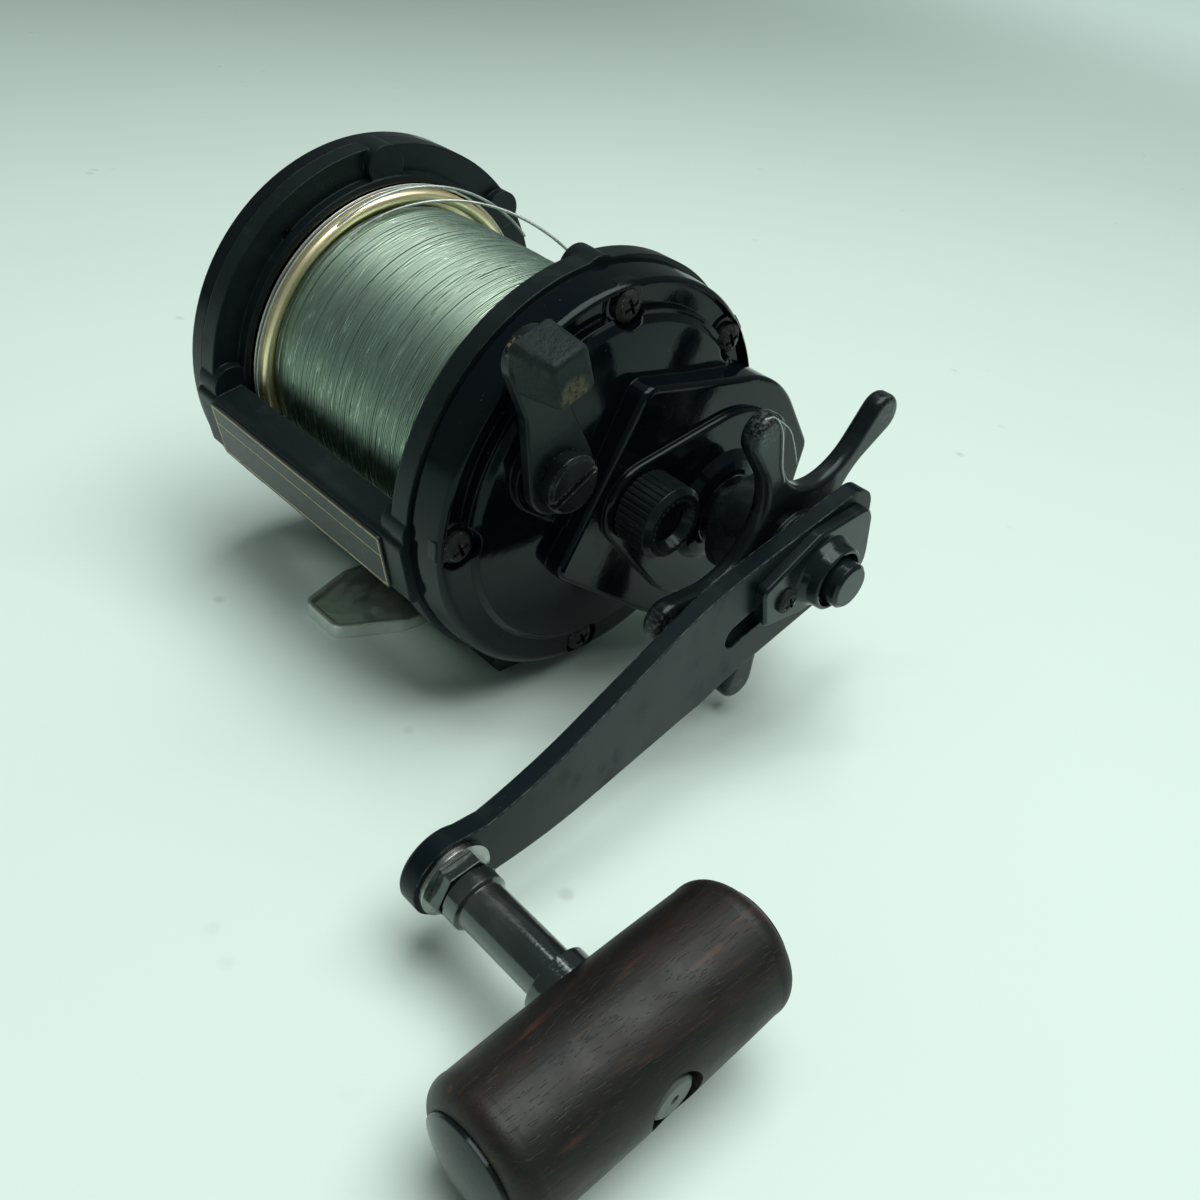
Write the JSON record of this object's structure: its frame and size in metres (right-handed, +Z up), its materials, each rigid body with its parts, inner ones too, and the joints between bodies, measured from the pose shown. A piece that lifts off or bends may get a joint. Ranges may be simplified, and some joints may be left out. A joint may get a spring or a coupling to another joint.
{
  "type": "trolling reel",
  "caption": "Round-bodied trolling reel with a star drag, clutch lever, knurled cast knob, gold spool of line, crank handle with a wooden T-bar grip and a curved clamp foot.",
  "frame": {"origin": "middle of the foot's underside", "axes": "+X along the spool axis towards the handle, +Y forwards away from the angler, +Z up"},
  "size_m": [0.1418, 0.1224, 0.0728],
  "materials": {
    "frame_black": "satin black moulded frame",
    "label": "black plate with a gold border",
    "stainless": "polished stainless steel with fine scratches",
    "cover_black": "glossy black moulding",
    "screw_steel": "corroded stainless screws",
    "black_cap": "semi-gloss black",
    "bearing_steel": "polished",
    "spool_gold": "champagne gold anodised",
    "shaft_steel": "turned steel",
    "line": "translucent pale green line",
    "gear_brass": "cut brass",
    "drag_fibre": "woven fibre discs",
    "star_black": "gloss black enamel, scuffed at the tips",
    "lever_black": "satin black, worn to brass at the tip",
    "pad_rubber": "worn dark rubber",
    "lever_screw": "blackened, rim worn bright",
    "arm_black": "satin black coating",
    "retainer_black": "blackened metal",
    "sleeve_gunmetal": "dark metal with a worn streak",
    "grip_wood": "dark rosewood, oiled",
    "grip_cap": "black end pieces"
  },
  "bodies": {
    "reel_body": {"frame": "frame_black", "label_plate": "label", "reel_foot": "stainless", "foot_screws": "stainless", "left_side_cover": "cover_black", "left_cover_screws": "screw_steel", "left_bearing_cap": "black_cap", "left_spool_bearing": "bearing_steel", "handle_side_cover": "cover_black", "cover_screws": "screw_steel", "gearbox_plate": "shaft_steel", "pinion_bearing": "bearing_steel", "right_spool_bearing": "bearing_steel", "brake_shim": "gear_brass", "shaft_bush": "gear_brass", "cover_bush": "black_cap", "dog_pin": "shaft_steel", "yoke_posts": "shaft_steel", "yoke_springs": "shaft_steel"},
    "handle": {"drive_shaft": "shaft_steel", "anti_reverse_ratchet": "shaft_steel", "ratchet_washer": "drag_fibre", "main_gear": "gear_brass", "drag_washers": "drag_fibre", "pressure_plate": "shaft_steel", "drag_sleeve": "shaft_steel", "star_spring_washers": "shaft_steel", "arm_spacer": "shaft_steel", "handle_arm": "arm_black", "handle_nut": "retainer_black", "nut_retainer": "retainer_black", "retainer_screw": "screw_steel", "knob_shaft": "shaft_steel", "knob_washer": "stainless", "knob_hex_nut": "sleeve_gunmetal"},
    "star": {"star_drag_wheel": "star_black"},
    "grip": {"knob_sleeve": "sleeve_gunmetal", "knob_grip": "grip_wood", "grip_end_caps": "grip_cap"},
    "spool": {"spool": "spool_gold", "spool_shaft": "shaft_steel", "clutch_pin": "shaft_steel", "click_gear": "gear_brass", "line_winding": "line"},
    "lever": {"clutch_lever": "lever_black", "lever_pad": "pad_rubber", "lever_screw": "lever_screw", "clutch_cam": "shaft_steel"},
    "yoke": {"pinion_yoke": "shaft_steel"},
    "pinion": {"pinion_gear": "gear_brass"},
    "cast_knob": {"cast_control_knob": "black_cap"},
    "clicker": {"click_button": "black_cap", "click_pawl": "shaft_steel"},
    "dog": {"anti_reverse_dog": "shaft_steel"}
  },
  "joints": [
    {"name": "handle_turn", "type": "hinge", "parent": "reel_body", "child": "handle", "pos_m": [0, 0.01941, 0.03278], "axis": [1, 0, 0], "continuous": true},
    {"name": "star_turn", "type": "hinge", "parent": "handle", "child": "star", "pos_m": [0, 0.01941, 0.03278], "axis": [1, 0, 0], "range_deg": [-360, 360]},
    {"name": "knob_spin", "type": "hinge", "parent": "handle", "child": "grip", "pos_m": [0.09, -0.0531, 0.013], "axis": [1, 0, 0], "continuous": true},
    {"name": "spool_spin", "type": "hinge", "parent": "reel_body", "child": "spool", "pos_m": [0, 0, 0.0382], "axis": [1, 0, 0], "continuous": true},
    {"name": "lever_turn", "type": "hinge", "parent": "reel_body", "child": "lever", "pos_m": [0.037, -0.0162, 0.0461], "axis": [1, 0, 0], "range_deg": [-35, 0]},
    {"name": "yoke_slide", "type": "slide", "parent": "reel_body", "child": "yoke", "axis": [1, 0, 0], "range_m": [0, 0.001], "deforming": ["yoke_springs"]},
    {"name": "pinion_spin", "type": "hinge", "parent": "yoke", "child": "pinion", "pos_m": [0, 0, 0.0382], "axis": [1, 0, 0], "continuous": true},
    {"name": "cast_knob_turn", "type": "hinge", "parent": "reel_body", "child": "cast_knob", "pos_m": [0, 0, 0.0382], "axis": [1, 0, 0], "range_deg": [-180, 180]},
    {"name": "click_slide", "type": "slide", "parent": "reel_body", "child": "clicker", "axis": [0, 0.7071, -0.7071], "range_m": [0, 0.002]},
    {"name": "dog_swing", "type": "hinge", "parent": "reel_body", "child": "dog", "pos_m": [0.03, 0.01283, 0.02042], "axis": [1, 0, 0], "range_deg": [-12, 0], "stiffness_Nm_per_rad": 0.002}
  ],
  "couplings": [
    {"joint": "spool_spin", "follows": "handle_turn", "ratio": -5.2},
    {"joint": "pinion_spin", "follows": "handle_turn", "ratio": -5.2},
    {"joint": "lever_turn", "follows": "yoke_slide", "rad_per_m": -610.8}
  ]
}
